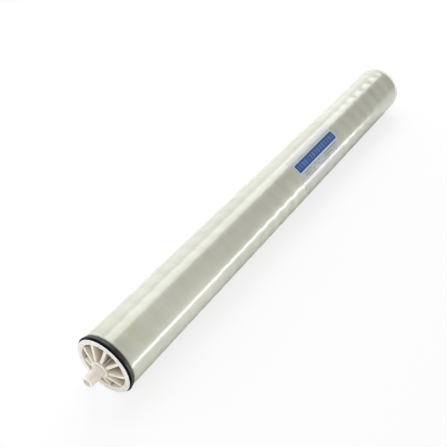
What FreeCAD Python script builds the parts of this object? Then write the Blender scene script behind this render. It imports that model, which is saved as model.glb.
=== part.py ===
"""Spiral-wound reverse osmosis element, 4 inch by 40 inch, lying on its side.

A perforated permeate tube runs the whole length.  Membrane leaves and feed spacers are wound round it in
a spiral, bound with tape and over-wrapped with a fibreglass shell.  A spoked end cap closes each end of
the roll, and the feed end carries a U-cup brine seal.

Frame: +X runs along the tube from the feed end to the brine end, +Z is up, and the origin is on the
tube's axis at mid-length.  Millimetres.
"""

import FreeCAD, Part
import Sketcher
import math
import os

DOC = FreeCAD.newDocument("ro_element")

# ------------------------------------------------------------------------------------------------------
# Driving dimensions
# ------------------------------------------------------------------------------------------------------

SIZES = [
    ("overall_length", 1016.0, "permeate tube, end to end"),
    ("stub_dia", 19.05, "turned ends of the permeate tube, where a coupler slides on"),
    ("stub_step", 0.2, "turned ends below the rest of the tube"),
    ("tube_wall", 3.2, "permeate tube wall"),
    ("tube_lead_in", 1.0, "chamfer on the tube's ends"),
    ("stub_length", 26.7, "tube showing past each hub"),
    ("drill_dia", 3.0, "permeate holes through the tube"),
    ("drill_pitch", 180.0, "spacing of the cross-drilled holes"),
    ("glue_margin", 36.0, "roll end to the first permeate hole"),
    ("shell_dia", 98.6, "fibreglass shell, outside"),
    ("shell_wall", 1.7, "fibreglass shell wall"),
    ("skirt_wall", 1.6, "end cap skirt and the tape wrap level with it"),
    ("skirt_length", 9.0, "end cap skirt under the shell"),
    ("lock_width", 3.0, "locking groove round the skirt"),
    ("lock_depth", 0.7, "depth of the locking groove"),
    ("hub_wall", 4.9, "end cap hub round the tube"),
    ("hub_proud", 8.0, "hub face ahead of the rim face"),
    ("hub_land", 1.8, "straight part of the hub ahead of the spokes"),
    ("rim_step", 0.7, "rim below the shell's surface"),
    ("rim_chamfer", 0.6, "chamfer on the rim's edges"),
    ("groove_depth", 4.5, "seal groove below the rim"),
    ("groove_width", 9.9, "seal groove, front to back"),
    ("groove_wall", 4.0, "rim wall under the seal groove"),
    ("front_land", 0.95, "rim ahead of the seal groove"),
    ("back_land", 1.4, "rim between the seal groove and the shell"),
    ("spoke_count", 9.0, "spokes in an end cap"),
    ("spoke_width", 4.6, "thickness of a spoke"),
    ("spoke_angle", 22.0, "first spoke above the +Y side, degrees"),
    ("spoke_recess", 2.0, "spokes behind the rim face"),
    ("seat_wall", 3.0, "cap between the seal groove and the roll"),
    ("window_fillet", 1.6, "corners of the flow windows"),
    ("seal_play", 0.2, "side clearance of the seal in its groove"),
    ("seal_proud", 2.5, "free lip of the seal outside the rim"),
    ("seal_setback", 3.0, "outer lip behind the inner lip's front edge"),
    ("seal_heel", 2.8, "solid heel of the seal"),
    ("seal_lip", 1.5, "thickness of the seal's lips"),
    ("seal_bevel", 0.8, "bevels on the seal's heel and in its cup"),
    ("core_wrap", 0.7, "permeate carrier wound on the bare tube"),
    ("leaf_count", 6.0, "membrane leaves, with a feed spacer each"),
    ("leaf_turns", 2.5, "turns of each leaf"),
    ("leaf_share", 0.46, "leaf's share of a leaf and spacer pair"),
    ("bond_gap", 0.05, "glue line or clearance between neighbours"),
    ("label_length", 155.0, "label, along the element"),
    ("label_width", 69.0, "label, round the shell"),
    ("label_film", 0.25, "label thickness"),
    ("label_offset", 118.7, "label centre, from mid-length towards the brine end"),
    ("label_angle", 47.0, "label centre above the -Y side, degrees"),
]


def make_sheet():
    """The spreadsheet: one row for each driving dimension, with the alias that expressions use."""
    sheet = DOC.addObject("Spreadsheet::Sheet", "Sizes")
    for row, (alias, number, note) in enumerate(SIZES, start=1):
        sheet.set(f"A{row}", note)
        sheet.set(f"B{row}", str(number))
        sheet.setAlias(f"B{row}", alias)
    DOC.recompute()
    return sheet


SHEET = make_sheet()


def value(expression):
    """The number that an expression over the sheet's aliases gives."""
    return float(SHEET.evalExpression(expression))


# Radii worked out from the shell inwards and from the tube outwards.
STUB_R = "Sizes.stub_dia / 2"
TUBE_R = f"({STUB_R} + Sizes.stub_step)"
BORE_R = f"({TUBE_R} - Sizes.tube_wall)"
HUB_BORE_R = f"({TUBE_R} + Sizes.bond_gap)"
HUB_R = f"({HUB_BORE_R} + Sizes.hub_wall)"
SHELL_R = "Sizes.shell_dia / 2"
SHELL_BORE_R = f"({SHELL_R} - Sizes.shell_wall)"
SKIRT_R = f"({SHELL_BORE_R} - Sizes.bond_gap)"
SKIRT_BORE_R = f"({SKIRT_R} - Sizes.skirt_wall)"
RIM_R = f"({SHELL_R} - Sizes.rim_step)"
GROOVE_R = f"({RIM_R} - Sizes.groove_depth)"
RIM_BORE_R = f"({GROOVE_R} - Sizes.groove_wall)"

# Distances into the element from an end cap's rim face.
GROOVE_FRONT = "Sizes.front_land"
GROOVE_BACK = f"({GROOVE_FRONT} + Sizes.groove_width)"
SHELL_SEAT = f"({GROOVE_BACK} + Sizes.back_land)"
SKIRT_END = f"({SHELL_SEAT} + Sizes.skirt_length)"
ROLL_SEAT = f"({GROOVE_BACK} + Sizes.seat_wall)"
LOCK_MIDDLE = f"({SHELL_SEAT} + Sizes.skirt_length / 2)"
LOCK_FRONT = f"({LOCK_MIDDLE} - Sizes.lock_width / 2)"
LOCK_BACK = f"({LOCK_MIDDLE} + Sizes.lock_width / 2)"
HUB_FACE = "(-Sizes.hub_proud)"

# Half-lengths along X.
TUBE_HALF = "Sizes.overall_length / 2"
HUB_HALF = f"({TUBE_HALF} - Sizes.stub_length)"
RIM_HALF = f"({HUB_HALF} - Sizes.hub_proud)"
ROLL_HALF = f"({RIM_HALF} - {ROLL_SEAT} - Sizes.bond_gap)"
SHELL_HALF = f"({RIM_HALF} - {SHELL_SEAT} - Sizes.bond_gap)"
TAPE_HALF = f"({RIM_HALF} - {SKIRT_END} - Sizes.bond_gap)"

# ------------------------------------------------------------------------------------------------------
# Helpers
# ------------------------------------------------------------------------------------------------------


def new_body(label):
    """A PartDesign body for one sub-part."""
    body = DOC.addObject("PartDesign::Body", label)
    body.Label = label
    return body


def origin_feature(body, role):
    """One of a body's own origin planes or axes."""
    for feature in body.Origin.OriginFeatures:
        if feature.Role == role:
            return feature
    raise ValueError(f"{body.Label} has no {role}")


def new_sketch(body, name, plane):
    """An empty sketch on one of the body's origin planes."""
    sketch = body.newObject("Sketcher::SketchObject", name)
    sketch.AttachmentSupport = [(origin_feature(body, plane), "")]
    sketch.MapMode = "FlatFace"
    return sketch


def bind(sketch, constraint, expression):
    """Adds a constraint to a sketch and ties its value to an expression."""
    index = sketch.addConstraint(constraint)
    sketch.setExpression(f"Constraints[{index}]", expression)


def outline(sketch, corners):
    """A closed run of straight edges through the corners, each a pair of expressions."""
    points = [FreeCAD.Vector(value(across), value(up), 0) for across, up in corners]
    count = len(points)
    for i in range(count):
        sketch.addGeometry(Part.LineSegment(points[i], points[(i + 1) % count]), False)
    for i in range(count):
        sketch.addConstraint(Sketcher.Constraint("Coincident", i, 2, (i + 1) % count, 1))
    for i, (across, up) in enumerate(corners):
        bind(sketch, Sketcher.Constraint("DistanceX", -1, 1, i, 1, points[i].x), across)
        bind(sketch, Sketcher.Constraint("DistanceY", -1, 1, i, 1, points[i].y), up)


def revolve(body, name, corners):
    """Turns an outline of (distance along X, radius) corners round the X axis."""
    sketch = new_sketch(body, f"{name}_profile", "XZ_Plane")
    outline(sketch, corners)
    turned = body.newObject("PartDesign::Revolution", name)
    turned.Profile = sketch
    turned.ReferenceAxis = (origin_feature(body, "X_Axis"), [""])
    turned.Angle = 360
    sketch.Visibility = False
    DOC.recompute()
    return turned


def pattern(body, name, kind, feature, axis):
    """A pattern of one feature along or round an origin axis, made the body's tip."""
    repeated = body.newObject(kind, name)
    repeated.Originals = [feature]
    if kind == "PartDesign::PolarPattern":
        repeated.Axis = (origin_feature(body, axis), [""])
    else:
        repeated.Direction = (origin_feature(body, axis), [""])
    body.Tip = repeated
    return repeated


def must_cut(before, after, what):
    """Stops the build if a cut has taken nothing away."""
    if after.Shape.Volume >= before.Shape.Volume:
        raise ValueError(f"{what} cuts nothing")


# ------------------------------------------------------------------------------------------------------
# Permeate tube
# ------------------------------------------------------------------------------------------------------


def drill_row(body, name, plane, feature, count, offset):
    """A row of holes drilled right through the tube, centred on mid-length and moved by an offset."""
    sketch = new_sketch(body, f"{name}_circle", plane)
    first = f"({offset} - (({count}) - 1) / 2 * Sizes.drill_pitch)"
    centre = FreeCAD.Vector(value(first), 0, 0)
    sketch.addGeometry(Part.Circle(centre, FreeCAD.Vector(0, 0, 1), value("Sizes.drill_dia / 2")), False)
    sketch.addConstraint(Sketcher.Constraint("PointOnObject", 0, 3, -1))
    bind(sketch, Sketcher.Constraint("DistanceX", -1, 1, 0, 3, centre.x), first)
    bind(sketch, Sketcher.Constraint("Radius", 0, value("Sizes.drill_dia / 2")), "Sizes.drill_dia / 2")
    hole = body.newObject("PartDesign::Pocket", f"{name}_hole")
    hole.Profile = sketch
    hole.Type = "ThroughAll"
    hole.SideType = "Symmetric"
    sketch.Visibility = False
    DOC.recompute()
    must_cut(feature, hole, name)
    row = pattern(body, name, "PartDesign::LinearPattern", hole, "X_Axis")
    row.setExpression("Length", f"(({count}) - 1) * Sizes.drill_pitch")
    row.setExpression("Occurrences", count)
    DOC.recompute()
    return row


def make_permeate_tube():
    """The centre tube, drilled alternately across two planes along the wound length."""
    body = new_body("permeate_tube")
    lead = "Sizes.tube_lead_in"
    tube = revolve(body, "tube", [
        (f"-{TUBE_HALF}", BORE_R),
        (f"-{TUBE_HALF}", f"{STUB_R} - {lead}"),
        (f"-{TUBE_HALF} + {lead}", STUB_R),
        (f"-{HUB_HALF}", STUB_R),
        (f"-{HUB_HALF}", TUBE_R),
        (HUB_HALF, TUBE_R),
        (HUB_HALF, STUB_R),
        (f"{TUBE_HALF} - {lead}", STUB_R),
        (TUBE_HALF, f"{STUB_R} - {lead}"),
        (TUBE_HALF, BORE_R),
    ])
    drilled = f"2 * ({ROLL_HALF} - Sizes.glue_margin) - Sizes.drill_pitch / 2"
    count = f"max(2; floor(({drilled}) / Sizes.drill_pitch) + 1)"
    upright = drill_row(body, "upright_holes", "XY_Plane", tube, count, "-Sizes.drill_pitch / 4")
    drill_row(body, "level_holes", "XZ_Plane", upright, count, "Sizes.drill_pitch / 4")
    return body


# ------------------------------------------------------------------------------------------------------
# End caps and brine seal, modelled with the rim face at X = 0 and the element behind it at +X
# ------------------------------------------------------------------------------------------------------


def place_at_feed_end(body):
    """Puts a piece modelled from the rim face at the feed end."""
    body.setExpression("Placement.Base.x", f"-{RIM_HALF}")


def place_at_brine_end(body):
    """Turns a piece modelled from the rim face round to the brine end."""
    body.Placement = FreeCAD.Placement(FreeCAD.Vector(), FreeCAD.Rotation(FreeCAD.Vector(0, 0, 1), 180))
    body.setExpression("Placement.Base.x", RIM_HALF)


def window_corner(radius, side, outward):
    """A rounded corner of the window: its centre, and the angles of its ends, low end first.

    The side is -1 or 1 for the spoke before or after the window.  The corner touches that spoke's side
    and the arc of the given radius, which lies outside it where outward is 1 and inside where it is -1.
    """
    half = math.pi / round(value("Sizes.spoke_count"))
    spoke = math.radians(value("Sizes.spoke_angle")) + half * (1 + side)
    rounding = value("Sizes.window_fillet")
    reach = radius - outward * rounding
    centre_angle = spoke - side * math.asin((value("Sizes.spoke_width / 2") + rounding) / reach)
    centre = FreeCAD.Vector(math.cos(centre_angle), math.sin(centre_angle), 0) * reach
    to_spoke = spoke + side * math.pi / 2
    to_arc = centre_angle if outward > 0 else centre_angle + math.pi
    turn = (to_arc - to_spoke + math.pi) % (2 * math.pi) - math.pi
    return (centre, to_spoke, to_spoke + turn)


def window_sketch(body):
    """One flow window: a rounded sector from the hub to the rim, its sides parallel to its two spokes."""
    sketch = new_sketch(body, "window_outline", "YZ_Plane")
    normal = FreeCAD.Vector(0, 0, 1)
    rounding = value("Sizes.window_fillet")
    rings = [(HUB_R, -1), (RIM_BORE_R, 1)]
    corners = []
    for radius, outward in rings:
        corners.append([window_corner(value(radius), side, outward) for side in (-1, 1)])

    def on_corner(ring, side, end):
        """The point of a corner that touches its spoke (end 1) or its arc (end 2)."""
        centre, angle = corners[ring][side][0], corners[ring][side][end]
        return centre + FreeCAD.Vector(math.cos(angle), math.sin(angle), 0) * rounding

    for ring, (radius, _) in enumerate(rings):
        ends = [on_corner(ring, side, 2) for side in (0, 1)]
        circle = Part.Circle(FreeCAD.Vector(), normal, value(radius))
        turns = [math.atan2(point.y, point.x) for point in ends]
        sketch.addGeometry(Part.ArcOfCircle(circle, *turns), False)
    for side in (0, 1):
        sketch.addGeometry(Part.LineSegment(on_corner(0, side, 1), on_corner(1, side, 1)), False)
    for ring in (0, 1):
        for side in (0, 1):
            centre, spoke_end, arc_end = corners[ring][side]
            low, high = sorted((spoke_end, arc_end))
            sketch.addGeometry(Part.ArcOfCircle(Part.Circle(centre, normal, rounding), low, high), False)

    for ring, (radius, _) in enumerate(rings):
        sketch.addConstraint(Sketcher.Constraint("Coincident", ring, 3, -1, 1))
        bind(sketch, Sketcher.Constraint("Radius", ring, value(radius)), radius)
        for side in (0, 1):
            corner = 4 + 2 * ring + side
            _, spoke_end, arc_end = corners[ring][side]
            spoke_pos, arc_pos = (1, 2) if spoke_end < arc_end else (2, 1)
            sketch.addConstraint(Sketcher.Constraint("Tangent", ring, side + 1, corner, arc_pos))
            sketch.addConstraint(Sketcher.Constraint("Tangent", 2 + side, ring + 1, corner, spoke_pos))
            bind(sketch, Sketcher.Constraint("Radius", corner, rounding), "Sizes.window_fillet")
    for line in (2, 3):
        half_spoke = value("Sizes.spoke_width / 2")
        bind(sketch, Sketcher.Constraint("Distance", -1, 1, line, half_spoke), "Sizes.spoke_width / 2")
    first_side = math.radians(value("Sizes.spoke_angle"))
    bind(sketch, Sketcher.Constraint("Angle", -1, 1, 2, 1, first_side), "Sizes.spoke_angle * 1 deg")
    opening = 2 * math.pi / round(value("Sizes.spoke_count"))
    bind(sketch, Sketcher.Constraint("Angle", 2, 1, 3, 1, opening), "360 deg / round(Sizes.spoke_count)")
    return sketch


def make_end_cap(label):
    """The anti-telescoping cap: hub, spokes and grooved rim in one moulding, with a skirt for the shell."""
    body = new_body(label)
    bevel = "Sizes.rim_chamfer"
    blank = revolve(body, f"{label}_blank", [
        (HUB_FACE, HUB_BORE_R),
        (HUB_FACE, f"{HUB_R} - {bevel}"),
        (f"{HUB_FACE} + {bevel}", HUB_R),
        (f"{HUB_FACE} + Sizes.hub_land", HUB_R),
        ("Sizes.spoke_recess", RIM_BORE_R),
        ("0", RIM_BORE_R),
        ("0", f"{RIM_R} - {bevel}"),
        (bevel, RIM_R),
        (GROOVE_FRONT, RIM_R),
        (GROOVE_FRONT, GROOVE_R),
        (GROOVE_BACK, GROOVE_R),
        (GROOVE_BACK, RIM_R),
        (SHELL_SEAT, RIM_R),
        (SHELL_SEAT, SKIRT_R),
        (LOCK_FRONT, SKIRT_R),
        (LOCK_FRONT, f"{SKIRT_R} - Sizes.lock_depth"),
        (LOCK_BACK, f"{SKIRT_R} - Sizes.lock_depth"),
        (LOCK_BACK, SKIRT_R),
        (SKIRT_END, SKIRT_R),
        (SKIRT_END, SKIRT_BORE_R),
        (ROLL_SEAT, SKIRT_BORE_R),
        (ROLL_SEAT, HUB_BORE_R),
    ])
    sketch = window_sketch(body)
    window = body.newObject("PartDesign::Pocket", f"{label}_window")
    window.Profile = sketch
    window.Type = "ThroughAll"
    window.SideType = "Symmetric"
    sketch.Visibility = False
    DOC.recompute()
    must_cut(blank, window, f"{label} window")
    windows = pattern(body, f"{label}_windows", "PartDesign::PolarPattern", window, "X_Axis")
    windows.Angle = 360
    windows.setExpression("Occurrences", "round(Sizes.spoke_count)")
    DOC.recompute()
    return body


def make_brine_seal():
    """The U-cup seal in the feed cap's groove, its lips open towards the feed."""
    body = new_body("brine_seal")
    bevel = "Sizes.seal_bevel"
    front = f"({GROOVE_FRONT} + Sizes.seal_play)"
    back = f"({GROOVE_BACK} - Sizes.seal_play)"
    cup = f"({back} - Sizes.seal_heel)"
    mouth = f"({front} + Sizes.seal_setback)"
    inner = f"({GROOVE_R} + Sizes.bond_gap)"
    heel = f"({RIM_R} + Sizes.rim_step)"
    lip = f"({RIM_R} + Sizes.seal_proud)"
    flare = f"({lip} - {heel}) * ({cup} - {mouth}) / ({back} - {mouth})"
    revolve(body, "seal", [
        (back, inner),
        (back, f"{heel} - {bevel}"),
        (f"{back} - {bevel}", heel),
        (mouth, lip),
        (mouth, f"{lip} - Sizes.seal_lip"),
        (f"{cup} - {bevel}", f"{lip} - {flare} - Sizes.seal_lip"),
        (cup, f"{lip} - {flare} - Sizes.seal_lip - {bevel}"),
        (cup, f"{inner} + Sizes.seal_lip"),
        (front, f"{inner} + Sizes.seal_lip"),
        (front, inner),
    ])
    return body


# ------------------------------------------------------------------------------------------------------
# Wound roll
# ------------------------------------------------------------------------------------------------------


def make_sleeve(label, inner, outer, half_length):
    """A plain tube centred on mid-length."""
    body = new_body(label)
    revolve(body, f"{label}_wall", [
        (f"-{half_length}", inner),
        (f"-{half_length}", outer),
        (half_length, outer),
        (half_length, inner),
    ])
    return body


def spiral_edges(centres, start_angle, step, radius, growth, arcs):
    """Arcs of a spiral: each turns by one step about the next centre, on a radius larger by the growth."""
    edges = []
    for i in range(arcs):
        angle = start_angle + i * step
        centre = centres[i % len(centres)]
        along = [angle, angle + step / 2, angle + step]
        reach = radius + i * growth
        points = [centre + FreeCAD.Vector(0, math.cos(a), math.sin(a)) * reach for a in along]
        edges.append(Part.Arc(*points).toShape())
    return edges


def spiral_sheet(inner_radius, thickness, growth, leaves, arcs, length):
    """A sheet wound in a spiral of arcs about the corners of a small polygon.

    Unwinding a string from a regular polygon gives arcs that meet smoothly, and sheets that start one
    corner apart then lie parallel, one side length apart, all the way round.
    """
    step = 2 * math.pi / leaves
    corner_radius = growth / (2 * math.sin(step / 2))
    centres = []
    for i in range(leaves):
        across, up = corner_radius * math.cos(i * step), corner_radius * math.sin(i * step)
        centres.append(FreeCAD.Vector(-length / 2, across, up))
    start_angle = -step / 2 - math.pi / 2
    inner = spiral_edges(centres, start_angle, step, inner_radius, growth, arcs)
    outer = spiral_edges(centres, start_angle, step, inner_radius + thickness, growth, arcs)
    first = Part.LineSegment(inner[0].firstVertex(True).Point, outer[0].firstVertex(True).Point).toShape()
    last = Part.LineSegment(inner[-1].lastVertex(True).Point, outer[-1].lastVertex(True).Point).toShape()
    face = Part.Face(Part.Wire(Part.__sortEdges__(inner + outer + [first, last])))
    return face.extrude(FreeCAD.Vector(length, 0, 0))


def make_wound_sheets():
    """The membrane leaves and feed spacers, each pair one step round from the last."""
    leaves = round(value("Sizes.leaf_count"))
    arcs = round(value("Sizes.leaf_turns") * leaves)
    gap = value("Sizes.bond_gap")
    core = value(f"{TUBE_R} + Sizes.bond_gap + Sizes.core_wrap") + gap
    pair = (value(SKIRT_BORE_R) - gap - core) / (arcs + 1)
    leaf = pair * value("Sizes.leaf_share")
    length = 2 * value(ROLL_HALF)
    start = core + pair / 2
    layers = [
        ("membrane_leaf", start, leaf - gap),
        ("feed_spacer", start + leaf, pair - leaf - gap),
    ]
    sheets = []
    for name, radius, thickness in layers:
        shape = spiral_sheet(radius, thickness, pair, leaves, arcs, length)
        for i in range(leaves):
            sheet = DOC.addObject("Part::Feature", f"{name}_{i + 1}")
            sheet.Label = f"{name}_{i + 1}"
            sheet.Shape = shape
            turn = FreeCAD.Rotation(FreeCAD.Vector(1, 0, 0), 360 / leaves * i)
            sheet.Placement = FreeCAD.Placement(FreeCAD.Vector(), turn)
            sheets.append(sheet)
    return sheets


# ------------------------------------------------------------------------------------------------------
# Shell and label
# ------------------------------------------------------------------------------------------------------


def make_shell():
    """The fibreglass shell, wound over the tape and the skirts, with a ridge in each locking groove."""
    body = new_body("fiberglass_shell")
    ridge = f"({SHELL_BORE_R} - Sizes.lock_depth)"
    front = f"({RIM_HALF} - {LOCK_FRONT} - Sizes.bond_gap)"
    back = f"({RIM_HALF} - {LOCK_BACK} + Sizes.bond_gap)"
    revolve(body, "shell_wall_and_ridges", [
        (f"-{SHELL_HALF}", SHELL_R),
        (SHELL_HALF, SHELL_R),
        (SHELL_HALF, SHELL_BORE_R),
        (front, SHELL_BORE_R),
        (front, ridge),
        (back, ridge),
        (back, SHELL_BORE_R),
        (f"-{back}", SHELL_BORE_R),
        (f"-{back}", ridge),
        (f"-{front}", ridge),
        (f"-{front}", SHELL_BORE_R),
        (f"-{SHELL_HALF}", SHELL_BORE_R),
    ])
    return body


def make_label():
    """A thin film on the shell's front, above the middle."""
    body = new_body("label")
    sketch = new_sketch(body, "label_section", "YZ_Plane")
    inner = f"({SHELL_R} + Sizes.bond_gap)"
    outer = f"({inner} + Sizes.label_film)"
    half_turn = f"Sizes.label_width / {outer} / 2 * 180 / pi"
    low = f"180 - Sizes.label_angle - {half_turn}"
    high = f"180 - Sizes.label_angle + {half_turn}"
    turns = [math.radians(value(low)), math.radians(value(high))]
    normal = FreeCAD.Vector(0, 0, 1)
    for radius in (inner, outer):
        circle = Part.Circle(FreeCAD.Vector(), normal, value(radius))
        sketch.addGeometry(Part.ArcOfCircle(circle, turns[0], turns[1]), False)
    for turn in turns:
        along = FreeCAD.Vector(math.cos(turn), math.sin(turn), 0)
        sketch.addGeometry(Part.LineSegment(along * value(inner), along * value(outer)), False)
    for arc, radius in enumerate((inner, outer)):
        sketch.addConstraint(Sketcher.Constraint("Coincident", arc, 3, -1, 1))
        bind(sketch, Sketcher.Constraint("Radius", arc, value(radius)), radius)
    for line, end, angle in ((2, 1, low), (3, 2, high)):
        sketch.addConstraint(Sketcher.Constraint("Coincident", line, 1, 0, end))
        sketch.addConstraint(Sketcher.Constraint("Coincident", line, 2, 1, end))
        turn = math.radians(value(angle))
        bind(sketch, Sketcher.Constraint("Angle", -1, 1, line, 1, turn), f"({angle}) * 1 deg")
        sketch.addConstraint(Sketcher.Constraint("PointOnObject", -1, 1, line))
    film = body.newObject("PartDesign::Pad", "label_film")
    film.Profile = sketch
    film.SideType = "Symmetric"
    film.setExpression("Length", "Sizes.label_length")
    sketch.Visibility = False
    body.setExpression("Placement.Base.x", "Sizes.label_offset")
    DOC.recompute()
    return body


# ------------------------------------------------------------------------------------------------------
# Assembly
# ------------------------------------------------------------------------------------------------------


def make_parts():
    """Every sub-part of the element."""
    feed_cap = make_end_cap("feed_end_cap")
    place_at_feed_end(feed_cap)
    brine_cap = make_end_cap("brine_end_cap")
    place_at_brine_end(brine_cap)
    seal = make_brine_seal()
    place_at_feed_end(seal)
    wrap_inner = f"{TUBE_R} + Sizes.bond_gap"
    core_wrap = make_sleeve("core_wrap", wrap_inner, f"{wrap_inner} + Sizes.core_wrap", ROLL_HALF)
    tape_wrap = make_sleeve("tape_wrap", SKIRT_BORE_R, SKIRT_R, TAPE_HALF)
    parts = [make_permeate_tube(), core_wrap, tape_wrap, feed_cap, brine_cap, seal]
    parts += make_wound_sheets()
    parts += [make_shell(), make_label()]
    DOC.recompute()
    return parts


def check_document(parts):
    """Stops the build if any object failed or any sub-part has no sound shape."""
    for item in DOC.Objects:
        if "Invalid" in item.State or "Error" in item.State:
            raise ValueError(f"{item.Label} did not recompute: {item.State}")
    for part in parts:
        if part.Shape.isNull() or not part.Shape.isValid() or not part.Shape.Solids:
            raise ValueError(f"{part.Label} has no sound shape")


def main():
    parts = make_parts()
    check_document(parts)
    os.makedirs("parts", exist_ok=True)
    for part in parts:
        part.Shape.exportStep(f"parts/{part.Label}.step")
        print(f"{part.Label}: {len(part.Shape.Solids)} solid, {part.Shape.Volume / 1000:.1f} cm3")


main()
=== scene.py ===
"""Finishes and studio for a spiral-wound reverse osmosis element.

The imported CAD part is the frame.  The shell, the brine seal and the end caps are remade as finer meshes
with rounded edges and the ripple of the winding, and every other node keeps its shape and gets its finish.
"""

import math

import bmesh
import bpy
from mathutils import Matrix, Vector


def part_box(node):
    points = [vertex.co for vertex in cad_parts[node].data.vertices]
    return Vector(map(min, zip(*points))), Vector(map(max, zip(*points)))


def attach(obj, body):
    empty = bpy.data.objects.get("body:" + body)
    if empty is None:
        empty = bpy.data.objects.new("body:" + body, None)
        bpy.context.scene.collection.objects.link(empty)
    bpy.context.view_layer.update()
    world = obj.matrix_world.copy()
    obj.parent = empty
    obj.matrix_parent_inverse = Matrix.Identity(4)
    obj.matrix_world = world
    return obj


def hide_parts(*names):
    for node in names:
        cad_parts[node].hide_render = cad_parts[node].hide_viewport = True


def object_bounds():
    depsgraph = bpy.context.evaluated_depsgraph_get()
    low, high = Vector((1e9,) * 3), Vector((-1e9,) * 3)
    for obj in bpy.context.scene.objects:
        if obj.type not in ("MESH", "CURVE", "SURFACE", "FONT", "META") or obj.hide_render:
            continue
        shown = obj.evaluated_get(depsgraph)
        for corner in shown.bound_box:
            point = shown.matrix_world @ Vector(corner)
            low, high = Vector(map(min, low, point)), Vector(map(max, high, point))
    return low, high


bl_info = {
    "name": "Reverse Osmosis Element",
    "version": (1, 0, 0),
    "blender": (4, 5, 0),
    "location": "3D Viewport > Sidebar > Element",
    "description": "Finishes a wound membrane element: shell, label, seal, end caps, roll and studio",
    "category": "Object",
}

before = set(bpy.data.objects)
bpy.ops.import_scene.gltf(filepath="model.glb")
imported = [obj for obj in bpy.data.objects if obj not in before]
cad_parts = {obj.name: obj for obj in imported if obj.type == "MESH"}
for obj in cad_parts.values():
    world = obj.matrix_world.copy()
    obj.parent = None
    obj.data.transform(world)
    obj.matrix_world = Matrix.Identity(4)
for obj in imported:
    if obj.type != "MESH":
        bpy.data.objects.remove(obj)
CAD_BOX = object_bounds()
FLOOR_HEIGHT = CAD_BOX[0].z
CAP_LOW, CAP_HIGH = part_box("feed_end_cap")
SHELL_LOW, SHELL_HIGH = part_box("fiberglass_shell")
LABEL_LOW, LABEL_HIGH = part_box("label")
SEAL_LOW, SEAL_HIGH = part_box("brine_seal")
CORE_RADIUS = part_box("core_wrap")[1].z
MM = 0.001
BOND_GAP = 0.05 * MM
ROUND_STEPS = 160
LAMPS = {
    "softbox": {"place": (1.15, 0.55, 1.30), "target": (1.15, 0.55, 0.0), "size": (2.8, 0.9)},
    "front_lamp": {"place": (-1.9, -0.35, 1.3), "target": (-0.45, 0.0, 0.0), "size": (1.1, 1.1)},
    "strip_lamp": {"place": (0.0, -0.32, -0.045), "target": (0.0, -0.30, 1.0), "size": (1.2, 0.19)},
}


# ------------------------------------------------------------------------------------------------------
# Settings
# ------------------------------------------------------------------------------------------------------


def length(name, description, default):
    """A length property, in metres."""
    return bpy.props.FloatProperty(
        name=name, description=description, default=default, precision=5, unit="LENGTH"
    )


def turn(name, description, degrees):
    """An angle property, given in degrees."""
    return bpy.props.FloatProperty(
        name=name, description=description, default=math.radians(degrees), unit="ROTATION"
    )


def share(name, description, default):
    """A property between nought and one."""
    return bpy.props.FloatProperty(
        name=name, description=description, default=default, min=0.0, max=1.0, subtype="FACTOR"
    )


def amount(name, description, default):
    """A plain number property."""
    return bpy.props.FloatProperty(name=name, description=description, default=default)


def colour(name, description, default):
    """A colour property, in linear light."""
    return bpy.props.FloatVectorProperty(
        name=name, description=description, default=default, min=0.0, max=1.0, subtype="COLOR"
    )


class ShellSettings(bpy.types.PropertyGroup):
    """The filament-wound shell."""

    wall: length("Wall", "Thickness of the shell", 1.7 * MM)
    band_pitch: length("Band pitch", "Advance of a roving band in one turn", 36 * MM)
    band_height: length("Band height", "Ripple that the bands leave in the surface", 0.30 * MM)
    strand_pitch: length("Strand pitch", "Spacing of the strands inside a band", 4.2 * MM)
    edge: length("Edge", "Rounding of the shell's cut ends", 0.5 * MM)
    stain_reach: length("Stain reach", "Run of the tint and the fine lines from the feed end", 120 * MM)
    resin: colour("Resin", "Clear resin over pale glass", (0.54, 0.545, 0.455))
    deep: colour("Deep resin", "Resin where the roll shows through", (0.37, 0.375, 0.295))
    stain: colour("Stain", "Yellow-green tint near the feed end", (0.47, 0.49, 0.29))
    roughness: share("Roughness", "Roughness of the resin", 0.36)


class LabelSettings(bpy.types.PropertyGroup):
    """The printed film label, with plain fields and rules in place of words."""

    margin: length("Margin", "Film left clear at the ends of the title band", 5.3 * MM)
    band_low: turn("Band foot", "Lower edge of the title band above the front", 48.0)
    band_high: turn("Band head", "Upper edge of the title band above the front", 68.5)
    rim: turn("Band rim", "Pale rim round the title band", 2.4)
    block: length("Block", "Spacing of the lighter blocks in the title band", 9.5 * MM)
    block_inset: length("Block inset", "Title band left plain at its ends", 5 * MM)
    rule_low: turn("Rules foot", "Lower edge of the block of rules", 26.0)
    rule_high: turn("Rules head", "Upper edge of the block of rules", 44.5)
    rule_inset: length("Rule inset", "Rules' ends behind the title band's", 10 * MM)
    dash: length("Dash", "Spacing of the dashes in a rule", 6.5 * MM)
    film: colour("Film", "Ground of the label", (0.46, 0.47, 0.47))
    band: colour("Band", "Title band", (0.025, 0.062, 0.185))
    band_light: colour("Band light", "Lighter blocks in the title band", (0.115, 0.175, 0.42))
    rim_colour: colour("Rim", "Rim of the title band", (0.42, 0.58, 0.66))
    ink: colour("Ink", "Rules under the title band", (0.16, 0.19, 0.19))


class SealSettings(bpy.types.PropertyGroup):
    """The U-cup brine seal."""

    heel: length("Heel", "Solid back of the seal", 2.8 * MM)
    lip: length("Lip", "Thickness of the lips", 1.5 * MM)
    setback: length("Setback", "Outer lip behind the inner lip's front edge", 3.0 * MM)
    ridge_pitch: length("Ridge pitch", "Spacing of the fine ridges round the outer lip", 1.5 * MM)
    edge: length("Edge", "Rounding of the lips and the heel", 0.6 * MM)
    rubber: colour("Rubber", "Black rubber", (0.008, 0.008, 0.009))
    bloom: colour("Bloom", "Dusty bloom on the rubber", (0.03, 0.03, 0.032))


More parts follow.
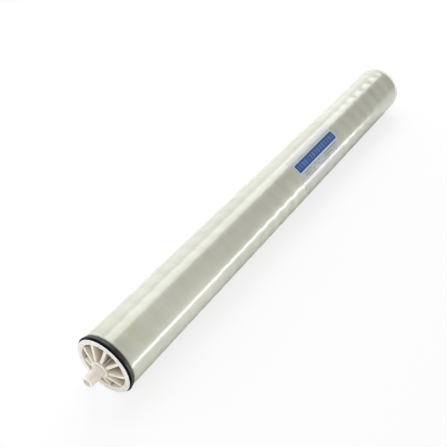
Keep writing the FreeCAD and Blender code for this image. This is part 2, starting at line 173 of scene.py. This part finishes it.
class CapSettings(bpy.types.PropertyGroup):
    """The moulded end caps and the permeate tube."""

    hub_proud: length("Hub proud", "Hub face ahead of the rim face", 8.0 * MM)
    hub_land: length("Hub land", "Straight part of the hub ahead of the spokes", 1.8 * MM)
    hub_bore: length("Hub bore", "Radius of the hub's bore", 9.775 * MM)
    hub_wall: length("Hub wall", "Thickness of the hub", 4.9 * MM)
    groove_front: length("Front land", "Rim ahead of the seal groove", 0.95 * MM)
    groove_width: length("Groove width", "Seal groove, front to back", 9.9 * MM)
    groove_depth: length("Groove depth", "Seal groove below the rim", 4.5 * MM)
    groove_wall: length("Groove wall", "Rim wall under the seal groove", 4.0 * MM)
    back_land: length("Back land", "Rim between the seal groove and the shell", 1.4 * MM)
    seat_wall: length("Seat wall", "Cap between the seal groove and the roll", 3.0 * MM)
    skirt_wall: length("Skirt wall", "Skirt under the shell", 1.6 * MM)
    spoke_recess: length("Spoke recess", "Spokes behind the rim face", 2.0 * MM)
    spoke_width: length("Spoke width", "Thickness of a spoke", 4.6 * MM)
    fillet: length("Fillet", "Corners of the flow windows", 1.6 * MM)
    edge: length("Edge", "Rounding of the moulding's edges", 0.45 * MM)
    spokes: bpy.props.IntProperty(name="Spokes", description="Spokes in a cap", default=9, min=3)
    first_spoke: turn("First spoke", "First spoke above the rear side", 22.0)
    # The painted shade darkens the moulding between the spokes, from this depth behind the hub face to the
    # next, where the windows fall into shade.
    painted_shade_start: length("Shade start", "Depth behind the hub face where the shade begins", 13 * MM)
    painted_shade_end: length("Shade end", "Depth behind the hub face where the shade is full", 22 * MM)
    rim_start: length("Rim start", "Radius where the paler rim begins", 42 * MM)
    rim_end: length("Rim end", "Radius where the rim is at its palest", 46 * MM)
    moulding: colour("Moulding", "Cream moulded plastic", (0.80, 0.74, 0.64))
    painted_shade: colour("Shade", "Moulding deep between the spokes", (0.74, 0.71, 0.56))
    rim: colour("Rim", "Paler outer rim", (0.82, 0.81, 0.82))
    # Groove colour: painted shade in the empty seal groove, and the shell's resin over the land behind it.
    groove: colour("Groove", "Resin-stained seal groove and the land behind it", (0.36, 0.37, 0.26))
    tube: colour("Tube", "Permeate tube", (0.84, 0.77, 0.71))


class RollSettings(bpy.types.PropertyGroup):
    """The wound roll behind the caps."""

    leaf_pitch: length("Leaf pitch", "Grain of the membrane", 0.9 * MM)
    net_pitch: length("Net pitch", "Mesh of the feed spacer net", 2.6 * MM)
    cloth_pitch: length("Cloth pitch", "Weave of the carrier cloth", 0.7 * MM)
    tape_pitch: length("Tape pitch", "Scrim of the binding tape", 1.5 * MM)
    leaf: colour("Leaf", "Membrane leaf's cut edge", (0.42, 0.40, 0.27))
    net: colour("Net", "Feed spacer net", (0.29, 0.28, 0.17))
    cloth: colour("Cloth", "Permeate carrier cloth", (0.72, 0.70, 0.62))
    tape: colour("Tape", "Binding tape", (0.62, 0.60, 0.45))


class StudioSettings(bpy.types.PropertyGroup):
    """Camera, lamps and floor."""

    lens: amount("Lens", "Focal length in millimetres", 56.58)
    camera_back: length("Camera back", "Camera's distance before the feed hub", 422.7 * MM)
    camera_side: length("Camera side", "Camera's distance to the front side", 493.9 * MM)
    camera_height: length("Camera height", "Camera above the element's axis", 811.0 * MM)
    camera_turn: turn("Camera turn", "Camera's heading, from the element's axis", 33.62)
    camera_drop: turn("Camera drop", "Camera's tilt below the horizon", 40.55)
    softbox: amount("Softbox", "Power of the overhead softbox, in watts", 26.0)
    front_lamp: amount("Front lamp", "Power of the lamp before the feed end, in watts", 20.0)
    strip_lamp: amount("Strip lamp", "Power of the low strip lamp, in watts", 5.0)
    ambient: amount("Ambient", "Light from all round", 0.30)
    backdrop: amount("Backdrop", "Light from the bright side behind the element", 1.6)
    floor_white: share("Floor white", "How far the floor shows plain white to the camera", 0.8)
    floor: colour("Floor", "Pale floor", (0.90, 0.90, 0.90))


SETTINGS = {
    "element_shell": ShellSettings,
    "element_label": LabelSettings,
    "element_seal": SealSettings,
    "element_caps": CapSettings,
    "element_roll": RollSettings,
    "element_studio": StudioSettings,
}


# ------------------------------------------------------------------------------------------------------
# Shader maths
# ------------------------------------------------------------------------------------------------------


class Field:
    """A shader socket that is used in expressions, each adding its Math node."""

    def __init__(self, sheet, socket):
        self.sheet = sheet
        self.socket = socket

    def maths(self, operation, *values):
        return self.sheet.add("ShaderNodeMath", {"operation": operation}, dict(enumerate(values)))

    def __add__(self, other):
        return self.maths("ADD", self, other)

    def __radd__(self, other):
        return self.maths("ADD", other, self)

    def __sub__(self, other):
        return self.maths("SUBTRACT", self, other)

    def __rsub__(self, other):
        return self.maths("SUBTRACT", other, self)

    def __mul__(self, other):
        return self.maths("MULTIPLY", self, other)

    def __rmul__(self, other):
        return self.maths("MULTIPLY", other, self)

    def __truediv__(self, other):
        return self.maths("DIVIDE", self, other)

    def __neg__(self):
        return self.maths("MULTIPLY", self, -1.0)

    def __abs__(self):
        return self.maths("ABSOLUTE", self)

    def __pow__(self, exponent):
        return self.maths("POWER", self, exponent)

    def above(self, other):
        return self.maths("GREATER_THAN", self, other)

    def below(self, other):
        return self.maths("LESS_THAN", self, other)

    def wave(self):
        """A sine that repeats with every whole number."""
        return self.maths("SINE", self * (2 * math.pi))

    def fraction(self):
        return self.maths("FRACT", self)

    def whole(self):
        return self.maths("FLOOR", self)

    def smooth(self, low, high):
        """Nought below low, one above high, and eased between them."""
        settings = {"interpolation_type": "SMOOTHSTEP"}
        values = {"Value": self, "From Min": low, "From Max": high}
        return self.sheet.add("ShaderNodeMapRange", settings, values)


class NodeSheet:
    """The node tree of a material or world, filled from an empty start."""

    def __init__(self, owner):
        owner.use_nodes = True
        self.tree = owner.node_tree
        self.tree.nodes.clear()

    def add(self, kind, settings=None, values=None, output=0):
        """Adds a node: its settings first, then the values or links of its sockets."""
        node = self.tree.nodes.new(kind)
        for name, setting in (settings or {}).items():
            setattr(node, name, setting)
        for key, entry in (values or {}).items():
            self.connect(node.inputs[key], entry)
        return Field(self, node.outputs[output]) if node.outputs else None

    def connect(self, socket, entry):
        """Gives a socket a link or a constant."""
        if isinstance(entry, Field):
            self.tree.links.new(entry.socket, socket)
        elif socket.type == "RGBA" and len(entry) == 3:
            socket.default_value = (*entry, 1.0)
        else:
            socket.default_value = entry

    def blend(self, factor, first, second):
        """The colour between two, by a factor."""
        values = {0: factor, 6: first, 7: second}
        return self.add("ShaderNodeMix", {"data_type": "RGBA", "clamp_factor": True}, values, 2)

    def place(self):
        """The point in the element's own frame, as a vector and as its X, Y and Z."""
        point = self.add("ShaderNodeTexCoord", output=3)
        axes = [self.add("ShaderNodeSeparateXYZ", values={0: point}, output=i) for i in range(3)]
        return point, axes

    def noise(self, point, scale, detail=2.0, stretch=(1.0, 1.0, 1.0)):
        """Soft noise over the part, about 0.5, with an optional stretch of its axes."""
        moved = self.add("ShaderNodeVectorMath", {"operation": "MULTIPLY"}, {0: point, 1: stretch})
        return self.add("ShaderNodeTexNoise", values={"Vector": moved, "Scale": scale, "Detail": detail})

    def bump(self, height, distance, strength=1.0):
        """A normal from a height field, whose full height is the distance in metres."""
        return self.add(
            "ShaderNodeBump", values={"Height": height, "Distance": distance, "Strength": strength}
        )

    def surface(self, values):
        """A Principled shader as the material's surface."""
        shader = self.add("ShaderNodeBsdfPrincipled", values=values)
        self.add("ShaderNodeOutputMaterial", values={"Surface": shader})


def new_material(name):
    """An empty material and its sheet of nodes."""
    material = bpy.data.materials.new(name)
    return material, NodeSheet(material)


def darker(tint, factor):
    """A colour brought down evenly."""
    return [channel * factor for channel in tint]


def angle_above_front(sheet, axes):
    """The angle round the element, from the front side at -Y up towards +Z, in radians."""
    return sheet.add("ShaderNodeMath", {"operation": "ARCTAN2"}, {0: axes[2], 1: -axes[1]})


# ------------------------------------------------------------------------------------------------------
# Materials
# ------------------------------------------------------------------------------------------------------


def shell_material(looks):
    """Clear resin over crossed bands of glass rovings."""
    material, sheet = new_material("shell_resin")
    point, axes = sheet.place()
    around = angle_above_front(sheet, axes) / (2 * math.pi)
    advance = axes[0] / looks.band_pitch
    strands = axes[0] / looks.strand_pitch
    band = (advance + around).wave()
    cross_band = (advance * 1.04 - around).wave()
    strand = (strands + around).wave()
    cross_strand = (strands * 1.13 - around).wave()
    cloud = sheet.noise(point, 14.0, 3.0, (0.5, 1.0, 1.0))
    fibres = sheet.noise(point, 60.0, 3.0, (5.0, 0.4, 0.4))
    to_brine = axes[0].smooth(SHELL_LOW.x, SHELL_HIGH.x)
    near_feed = 1.0 - axes[0].smooth(SHELL_LOW.x, SHELL_LOW.x + looks.stain_reach)
    clear = (cloud - 0.5) * 1.2 + band * 0.08 + cross_band * 0.06 + (fibres - 0.5) * 0.5 + 0.75
    glass = sheet.blend(clear - to_brine * 0.55, looks.deep, looks.resin)
    lines = (strand * cross_strand * 0.5 + 0.5) ** 3.0
    glass = sheet.blend(lines * (near_feed * 0.12 + 0.04), glass, (0.80, 0.82, 0.70))
    patches = sheet.noise(point, 38.0, 1.0).smooth(0.50, 0.72)
    glass = sheet.blend(near_feed * patches * 0.7, glass, looks.stain)
    bands = (band * 0.5 + cross_band * 0.3) * (to_brine * 0.8 + 0.2)
    height = bands + (strand * 0.05 + cross_strand * 0.04) * (near_feed + 0.35)
    height = height + (fibres - 0.5) * 0.25 + (cloud - 0.5) * 1.2
    sheet.surface({
        "Base Color": glass,
        "Roughness": looks.roughness + (fibres - 0.5) * 0.10,
        "IOR": 1.60,
        "Coat Weight": 0.85,
        "Coat Roughness": 0.14,
        "Coat IOR": 1.60,
        "Normal": sheet.bump(height, 0.26 * MM),
    })
    return material


def label_material(looks):
    """Film with a title band of plain blocks over a field of rules."""
    material, sheet = new_material("label_film")
    point, axes = sheet.place()
    angle = angle_above_front(sheet, axes)
    along = axes[0]
    first, last = LABEL_LOW.x + looks.margin, LABEL_HIGH.x - looks.margin

    def field(low, high, inset):
        """One inside a rectangle of the label, its ends inset from the title band's."""
        return angle.above(low) * angle.below(high) * along.above(first + inset) * along.below(last - inset)

    rim = field(looks.band_low - looks.rim, looks.band_high + looks.rim, -looks.rim * SHELL_HIGH.z)
    band = field(looks.band_low, looks.band_high, 0.0)
    inset = (looks.band_high - looks.band_low) * 0.2
    inner = field(looks.band_low + inset, looks.band_high - inset, looks.block_inset)
    blocks = (along - first) / looks.block
    block = sheet.add("ShaderNodeTexWhiteNoise", {"noise_dimensions": "1D"}, {"W": blocks.whole()})
    shown = blocks.fraction().smooth(0.08, 0.26) * (1.0 - blocks.fraction().smooth(0.78, 0.96))
    tint = sheet.blend(inner * shown * (block * 0.5 + 0.5), looks.band, looks.band_light)
    rows = (angle - looks.rule_low) / ((looks.rule_high - looks.rule_low) / 3)
    row = rows.whole()
    rule = rows.fraction().above(0.28) * rows.fraction().below(0.74)
    words = (along - first) / looks.dash + row * 0.37
    cell = sheet.add("ShaderNodeCombineXYZ", values={0: words.whole(), 1: row})
    chance = sheet.add("ShaderNodeTexWhiteNoise", {"noise_dimensions": "2D"}, {"Vector": cell})
    dashes = words.fraction().above(0.12) * chance.above(0.35)
    rules = field(looks.rule_low, looks.rule_high, looks.rule_inset) * rule * dashes
    cloud = sheet.noise(point, 60.0, 2.0)
    film = sheet.blend((cloud - 0.5) * 0.8 + 0.5, darker(looks.film, 0.9), looks.film)
    film = sheet.blend(rules * 0.7, film, looks.ink)
    film = sheet.blend(rim, film, looks.rim_colour)
    film = sheet.blend(band, film, tint)
    sheet.surface({
        "Base Color": film,
        "Roughness": 0.30 + (cloud - 0.5) * 0.15,
        "IOR": 1.5,
        "Coat Weight": 0.5,
        "Coat Roughness": 0.14,
        "Normal": sheet.bump(cloud, 0.25 * MM, 0.6),
    })
    return material


def rubber_material(looks):
    """Moulded black rubber with a faint bloom and fine ridges round the outer lip, and bare black ahead of
    it as painted shade in the mouth.
    """
    material, sheet = new_material("seal_rubber")
    point, axes = sheet.place()
    # The bloom and ridges stay on the outer lip, so the front of the inner leg stays bare black as painted
    # shade in the seal's mouth.
    lip = axes[0].above(SEAL_LOW.x + looks.setback)
    bloom = sheet.noise(point, 90.0, 4.0).smooth(0.35, 0.80) * lip
    grain = sheet.noise(point, 900.0, 2.0)
    ridges = (axes[0] / looks.ridge_pitch).wave() * lip
    sheet.surface({
        "Base Color": sheet.blend(bloom + ridges * 0.15, looks.rubber, looks.bloom),
        "Roughness": 0.42 + bloom * 0.15,
        "IOR": 1.50,
        "Normal": sheet.bump(grain * 0.2 + ridges * 0.5, 0.10 * MM, 0.8),
    })
    return material


def moulding_material(looks):
    """Cream moulding, painted shade deep between the spokes, paler rim, olive groove (painted shade) and
    resin on the land.
    """
    material, sheet = new_material("cap_moulding")
    point, axes = sheet.place()
    radius = (axes[1] * axes[1] + axes[2] * axes[2]) ** 0.5
    cloud = sheet.noise(point, 45.0, 3.0)
    grain = sheet.noise(point, 1100.0, 2.0)
    behind_hub = -CAP_LOW.x - abs(axes[0])
    depth = behind_hub.smooth(looks.painted_shade_start, looks.painted_shade_end)
    between = radius.below(CAP_HIGH.z - looks.groove_depth - looks.groove_wall + looks.edge)
    # Where the groove colour goes: painted shade in the seal groove, resin on the land behind it.
    groove = behind_hub.above(looks.hub_proud + looks.groove_front + looks.edge)
    groove = groove * radius.above(CAP_HIGH.z - looks.groove_depth - looks.edge)
    body = sheet.blend((cloud - 0.5) * 1.2 + 0.5, darker(looks.moulding, 0.94), looks.moulding)
    # Painted shade between the spokes, growing with depth behind the hub face.
    body = sheet.blend(depth * between, body, looks.painted_shade)
    body = sheet.blend(radius.smooth(looks.rim_start, looks.rim_end), body, looks.rim)
    body = sheet.blend(groove, body, looks.groove)
    sheet.surface({
        "Base Color": body,
        "Roughness": 0.42 + (cloud - 0.5) * 0.2,
        "IOR": 1.49,
        "Subsurface Weight": 0.7,
        "Subsurface Radius": (1.0, 0.9, 0.75),
        "Subsurface Scale": 6 * MM,
        "Normal": sheet.bump(cloud * 0.6 + grain * 0.4, 0.05 * MM, 0.6),
    })
    return material


def tube_material(looks):
    """Extruded tube with faint draw lines."""
    material, sheet = new_material("centre_tube")
    point, axes = sheet.place()
    draw = sheet.noise(point, 420.0, 2.0, (0.03, 1.0, 1.0))
    sheet.surface({
        "Base Color": sheet.blend((draw - 0.5) * 1.5 + 0.5, darker(looks.tube, 0.94), looks.tube),
        "Roughness": 0.40 + (draw - 0.5) * 0.15,
        "IOR": 1.49,
        "Subsurface Weight": 0.7,
        "Subsurface Radius": (1.0, 0.9, 0.8),
        "Subsurface Scale": 6 * MM,
        "Normal": sheet.bump(draw, 0.03 * MM, 0.6),
    })
    return material


def woven_material(name, tint, pitch, roughness):
    """Cloth or net: a crossed weave at the given pitch."""
    material, sheet = new_material(name)
    point, axes = sheet.place()
    angle = angle_above_front(sheet, axes)
    warp = (axes[0] / pitch).wave()
    weft = (angle * (CORE_RADIUS / pitch)).wave()
    weave = warp * weft * 0.5 + 0.5
    cloud = sheet.noise(point, 120.0, 3.0)
    sheet.surface({
        "Base Color": sheet.blend(weave * 0.5 + (cloud - 0.5) * 0.9 + 0.25, darker(tint, 0.72), tint),
        "Roughness": roughness + (cloud - 0.5) * 0.2,
        "Normal": sheet.bump(weave, 0.08 * MM, 0.7),
    })
    return material


# ------------------------------------------------------------------------------------------------------
# Meshes
# ------------------------------------------------------------------------------------------------------


def rounded(corners, rounding, steps=4):
    """A closed (X, radius) outline with each corner eased into a small curve."""
    outline = []
    count = len(corners)
    for i, here in enumerate(corners):
        corner = Vector(here)
        before = Vector(corners[i - 1]) - corner
        after = Vector(corners[(i + 1) % count]) - corner
        reach = min(rounding, before.length * 0.45, after.length * 0.45)
        start, end = corner + before.normalized() * reach, corner + after.normalized() * reach
        for k in range(steps + 1):
            t = k / steps
            outline.append(start * (1 - t) ** 2 + corner * 2 * t * (1 - t) + end * t ** 2)
    return outline


def skin(shape, rings, closed):
    """Faces between rings of points, the last joined to the first or both ends filled."""
    rings = [[shape.verts.new(point) for point in ring] for ring in rings]
    following = rings[1:] + rings[:1] if closed else rings[1:]
    for ring, after in zip(rings, following):
        for i in range(len(ring)):
            j = (i + 1) % len(ring)
            shape.faces.new((ring[i], ring[j], after[j], after[i]))
    if not closed:
        shape.faces.new(rings[0])
        shape.faces.new(rings[-1])


def turn_outline(shape, outline, segments, ripple=None):
    """Turns a closed outline of (X, radius) points about the X axis, its radius moved by a ripple."""
    rings = []
    for along, radius in outline:
        ring = []
        for i in range(segments):
            angle = 2 * math.pi * i / segments
            reach = radius + (ripple(along, radius, angle) if ripple else 0.0)
            ring.append((along, -reach * math.cos(angle), reach * math.sin(angle)))
        rings.append(ring)
    skin(shape, rings, True)


def finished(name, shape):
    """A smooth-shaded object from a bmesh, with its faces turned outwards."""
    bmesh.ops.recalc_face_normals(shape, faces=shape.faces)
    for face in shape.faces:
        face.smooth = True
    mesh = bpy.data.meshes.new(name)
    shape.to_mesh(mesh)
    shape.free()
    thing = bpy.data.objects.new(name, mesh)
    bpy.context.scene.collection.objects.link(thing)
    return thing


def dress(thing, material):
    """Gives an object one material all over."""
    thing.data.materials.clear()
    thing.data.materials.append(material)


def stand_in(piece, node, material):
    """Puts a piece in a CAD node's place."""
    dress(piece, material)
    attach(piece, "root")
    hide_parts(node)


# ------------------------------------------------------------------------------------------------------
# End cap
# ------------------------------------------------------------------------------------------------------


def rim_outline(looks):
    """The rim's section, from the rim face at nought: seal groove, lands and the skirt under the shell."""
    rim = CAP_HIGH.z
    groove = rim - looks.groove_depth
    bore = groove - looks.groove_wall
    groove_back = looks.groove_front + looks.groove_width
    seat = groove_back + looks.back_land
    skirt = SHELL_HIGH.z - bpy.context.scene.element_shell.wall - BOND_GAP
    skirt_end = CAP_HIGH.x - CAP_LOW.x - looks.hub_proud
    roll_seat = groove_back + looks.seat_wall
    return [
        (0.0, bore),
        (0.0, rim),
        (looks.groove_front, rim),
        (looks.groove_front, groove),
        (groove_back, groove),
        (groove_back, rim),
        (seat, rim),
        (seat, skirt),
        (skirt_end, skirt),
        (skirt_end, skirt - looks.skirt_wall),
        (roll_seat, skirt - looks.skirt_wall),
        (roll_seat, bore),
    ]


def spoke_side(looks, hub, bore, steps=5):
    """One side of a spoke in plan, from inside the hub to inside the rim, as (radius, half width) pairs."""
    half, fillet = looks.spoke_width / 2, looks.fillet
    sunk = looks.edge * 2
    hub_reach = math.sqrt((hub + fillet) ** 2 - (half + fillet) ** 2)
    rim_reach = math.sqrt((bore - fillet) ** 2 - (half + fillet) ** 2)
    hub_end = math.atan2(half + fillet, hub_reach) - math.pi
    rim_end = math.atan2(half + fillet, rim_reach)
    side = []
    for reach, start, end in ((hub_reach, hub_end, -math.pi / 2), (rim_reach, -math.pi / 2, rim_end)):
        for k in range(steps + 1):
            angle = start + (end - start) * k / steps
            side.append((reach + fillet * math.cos(angle), half + fillet * (1 + math.sin(angle))))
    return [(side[0][0] - sunk, side[0][1]), *side, (side[-1][0] + sunk, side[-1][1])]


def add_spoke(shape, looks, angle, hub, bore, back, steps=4):
    """A spoke with rounded front edges, falling back from the hub to the rim."""
    edge = looks.edge
    across = Vector((0.0, -math.sin(angle), math.cos(angle)))
    outwards = Vector((0.0, math.cos(angle), math.sin(angle)))
    hub_front = looks.hub_land - looks.hub_proud
    rings = []
    for radius, half in spoke_side(looks, hub, bore):
        fall = min(1.0, max(0.0, (radius - hub) / (bore - hub)))
        front = hub_front + (looks.spoke_recess - hub_front) * fall
        section = [(half, back)]
        for k in range(steps + 1):
            bend = math.pi / 2 * k / steps
            section.append((half - edge * (1 - math.cos(bend)), front + edge * (1 - math.sin(bend))))
        section += [(-reach, depth) for reach, depth in reversed(section)]
        rings.append([outwards * radius + across * reach + Vector((depth, 0.0, 0.0))
                      for reach, depth in section])
    skin(shape, rings, False)


def make_cap(name, looks, heading):
    """A whole cap: a turned rim and hub joined by spokes, facing -X where the heading is 1."""
    shape = bmesh.new()
    rim = rim_outline(looks)
    bore, back = rim[0][1], rim[-1][0]
    hub = looks.hub_bore + looks.hub_wall
    hub_section = [(-looks.hub_proud, looks.hub_bore), (-looks.hub_proud, hub), (back, hub),
                   (back, looks.hub_bore)]
    turn_outline(shape, rounded(rim, looks.edge), ROUND_STEPS)
    turn_outline(shape, rounded(hub_section, looks.edge), 96)
    for i in range(looks.spokes):
        angle = looks.first_spoke + 2 * math.pi * i / looks.spokes
        add_spoke(shape, looks, angle, hub, bore, back)
    rim_face = CAP_LOW.x + looks.hub_proud
    for vert in shape.verts:
        vert.co.x += rim_face
        vert.co.x *= heading
        vert.co.y *= heading
    return finished(name, shape)


# ------------------------------------------------------------------------------------------------------
# Operators
# ------------------------------------------------------------------------------------------------------


class ELEMENT_OT_shell(bpy.types.Operator):
    """Makes the wound shell with the ripple of its bands"""

    bl_idname = "element.shell"
    bl_label = "Wound Shell"

    def execute(self, context):
        looks = context.scene.element_shell
        inner = SHELL_HIGH.z - looks.wall
        outer = SHELL_HIGH.z - looks.band_height

        def ripple(along, radius, angle):
            """Bands laid both ways, eased away at the shell's ends."""
            if radius < outer - looks.wall / 2:
                return 0.0
            ends = min(along - SHELL_LOW.x, SHELL_HIGH.x - along) / looks.band_pitch
            advance = 2 * math.pi * along / looks.band_pitch
            waves = math.sin(advance + angle) + 0.8 * math.sin(advance * 1.04 - angle)
            return looks.band_height / 2 * waves * min(1.0, ends)

        rows = round((SHELL_HIGH.x - SHELL_LOW.x) / (looks.band_pitch / 9))
        run = [SHELL_LOW.x + (SHELL_HIGH.x - SHELL_LOW.x) * i / rows for i in range(1, rows)]
        ends = rounded([(SHELL_LOW.x, inner), (SHELL_LOW.x, outer), (SHELL_HIGH.x, outer),
                        (SHELL_HIGH.x, inner)], looks.edge)
        half = len(ends) // 2
        shape = bmesh.new()
        outline = ends[:half] + [(along, outer) for along in run] + ends[half:]
        turn_outline(shape, outline, ROUND_STEPS, ripple)
        piece = finished("wound_shell", shape)
        stand_in(piece, "fiberglass_shell", shell_material(looks))
        return {"FINISHED"}


class ELEMENT_OT_label(bpy.types.Operator):
    """Prints the label film with plain blocks and rules"""

    bl_idname = "element.label"
    bl_label = "Label"

    def execute(self, context):
        dress(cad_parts["label"], label_material(context.scene.element_label))
        return {"FINISHED"}


class ELEMENT_OT_seal(bpy.types.Operator):
    """Makes the U-cup brine seal with rounded lips"""

    bl_idname = "element.seal"
    bl_label = "Brine Seal"

    def execute(self, context):
        looks = context.scene.element_seal
        front, back, lip = SEAL_LOW.x, SEAL_HIGH.x, SEAL_HIGH.z
        mouth = front + looks.setback
        cup = back - looks.heel
        inner = CAP_HIGH.z - context.scene.element_caps.groove_depth + BOND_GAP
        heel = SHELL_HIGH.z
        flare = (lip - heel) * (cup - mouth) / (back - mouth)
        corners = [
            (back, inner),
            (back, heel),
            (mouth, lip),
            (mouth, lip - looks.lip),
            (cup, lip - flare - looks.lip),
            (cup, inner + looks.lip),
            (front, inner + looks.lip),
            (front, inner),
        ]
        shape = bmesh.new()
        turn_outline(shape, rounded(corners, looks.edge), 192)
        stand_in(finished("seal_cup", shape), "brine_seal", rubber_material(looks))
        return {"FINISHED"}


class ELEMENT_OT_caps(bpy.types.Operator):
    """Makes the spoked end caps and finishes the permeate tube"""

    bl_idname = "element.caps"
    bl_label = "End Caps and Tube"

    def execute(self, context):
        looks = context.scene.element_caps
        moulding = moulding_material(looks)
        for end, heading in (("feed", 1), ("brine", -1)):
            cap = make_cap(f"{end}_spoked_cap", looks, heading)
            stand_in(cap, f"{end}_end_cap", moulding)
        dress(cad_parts["permeate_tube"], tube_material(looks))
        return {"FINISHED"}


class ELEMENT_OT_roll(bpy.types.Operator):
    """Finishes the wound leaves, spacers, core cloth and binding tape"""

    bl_idname = "element.roll"
    bl_label = "Wound Roll"

    def execute(self, context):
        looks = context.scene.element_roll
        finishes = {
            "membrane_leaf": woven_material("membrane", looks.leaf, looks.leaf_pitch, 0.6),
            "feed_spacer": woven_material("spacer_net", looks.net, looks.net_pitch, 0.5),
            "core_wrap": woven_material("carrier_cloth", looks.cloth, looks.cloth_pitch, 0.8),
            "tape_wrap": woven_material("binding_tape", looks.tape, looks.tape_pitch, 0.4),
        }
        for name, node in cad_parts.items():
            for start, material in finishes.items():
                if name.startswith(start):
                    dress(node, material)
        return {"FINISHED"}


class ELEMENT_OT_studio(bpy.types.Operator):
    """Sets up the floor, the lamps, the world and the camera"""

    bl_idname = "element.studio"
    bl_label = "Studio"

    def execute(self, context):
        looks = context.scene.element_studio
        self.lay_floor(looks)
        self.light_world(context, looks)
        for name, lamp in LAMPS.items():
            self.hang_lamp(context, name, power=getattr(looks, name), **lamp)
        self.place_camera(context, looks)
        return {"FINISHED"}

    def lay_floor(self, looks):
        """A wide pale floor that shows white to the camera and keeps a soft shadow."""
        shape = bmesh.new()
        bmesh.ops.create_grid(shape, x_segments=8, y_segments=8, size=8.0)
        floor = finished("floor", shape)
        floor.location.z = FLOOR_HEIGHT
        material, sheet = new_material("floor_paper")
        paper = sheet.add("ShaderNodeBsdfDiffuse", values={"Color": looks.floor})
        white = sheet.add("ShaderNodeEmission", values={"Color": (1.0, 1.0, 1.0), "Strength": 1.0})
        seen = sheet.add("ShaderNodeLightPath") * looks.floor_white
        ground = sheet.add("ShaderNodeMixShader", values={0: seen, 1: paper, 2: white})
        sheet.add("ShaderNodeOutputMaterial", values={"Surface": ground})
        dress(floor, material)

    def light_world(self, context, looks):
        """Soft light from all round, brighter from behind the element, and white to the camera."""
        world = bpy.data.worlds.new("studio")
        context.scene.world = world
        sheet = NodeSheet(world)
        heading = sheet.add("ShaderNodeTexCoord")
        across = sheet.add("ShaderNodeSeparateXYZ", values={0: heading}, output=1)
        up = sheet.add("ShaderNodeSeparateXYZ", values={0: heading}, output=2)
        low = 1.0 - abs(up).smooth(0.45, 0.9)
        glow = across.smooth(0.1, 0.6) * low * looks.backdrop
        room = sheet.add("ShaderNodeBackground", values={"Strength": glow + looks.ambient})
        white = sheet.add("ShaderNodeBackground", values={"Color": (1.0, 1.0, 1.0), "Strength": 1.0})
        seen = sheet.add("ShaderNodeLightPath")
        sky = sheet.add("ShaderNodeMixShader", values={0: seen, 1: room, 2: white})
        sheet.add("ShaderNodeOutputWorld", values={"Surface": sky})

    def hang_lamp(self, context, name, place, target, size, power):
        """A rectangular lamp that the camera doesn't see, aimed from its place at its target."""
        lamp = bpy.data.lights.new(name, "AREA")
        lamp.shape = "RECTANGLE"
        lamp.size, lamp.size_y = size
        lamp.energy = power
        holder = bpy.data.objects.new(name, lamp)
        context.scene.collection.objects.link(holder)
        holder.location = place
        aim = Vector(target) - Vector(place)
        holder.rotation_euler = aim.to_track_quat("-Z", "Y").to_euler()
        holder.visible_camera = False

    def place_camera(self, context, looks):
        """The camera before the feed end, looking along the element and down."""
        camera = bpy.data.cameras.new("camera")
        camera.lens = looks.lens
        camera.clip_end = 50.0
        holder = bpy.data.objects.new("camera", camera)
        context.scene.collection.objects.link(holder)
        holder.location = (CAP_LOW.x - looks.camera_back, -looks.camera_side, looks.camera_height)
        level = math.cos(looks.camera_drop)
        aim = Vector((
            level * math.cos(looks.camera_turn),
            level * math.sin(looks.camera_turn),
            -math.sin(looks.camera_drop),
        ))
        holder.rotation_euler = aim.to_track_quat("-Z", "Y").to_euler()
        context.scene.camera = holder
        context.scene.view_settings.view_transform = "Standard"


STEPS = (
    ELEMENT_OT_shell,
    ELEMENT_OT_label,
    ELEMENT_OT_seal,
    ELEMENT_OT_caps,
    ELEMENT_OT_roll,
    ELEMENT_OT_studio,
)


class ELEMENT_PT_panel(bpy.types.Panel):
    """Lists the steps and their settings in the sidebar"""

    bl_label = "Reverse Osmosis Element"
    bl_idname = "ELEMENT_PT_panel"
    bl_space_type = "VIEW_3D"
    bl_region_type = "UI"
    bl_category = "Element"

    def draw(self, context):
        for group, step in zip(SETTINGS, STEPS):
            box = self.layout.box()
            box.operator(step.bl_idname)
            settings = getattr(context.scene, group)
            for name in settings.__annotations__:
                box.prop(settings, name)


def register():
    for kind in (*SETTINGS.values(), *STEPS, ELEMENT_PT_panel):
        bpy.utils.register_class(kind)
    for name, kind in SETTINGS.items():
        setattr(bpy.types.Scene, name, bpy.props.PointerProperty(type=kind))


def unregister():
    for name in SETTINGS:
        delattr(bpy.types.Scene, name)
    for kind in (ELEMENT_PT_panel, *reversed(STEPS), *reversed(SETTINGS.values())):
        bpy.utils.unregister_class(kind)


def main():
    register()
    for step in STEPS:
        group, name = step.bl_idname.split(".")
        getattr(getattr(bpy.ops, group), name)()


if __name__ == "__main__":
    main()
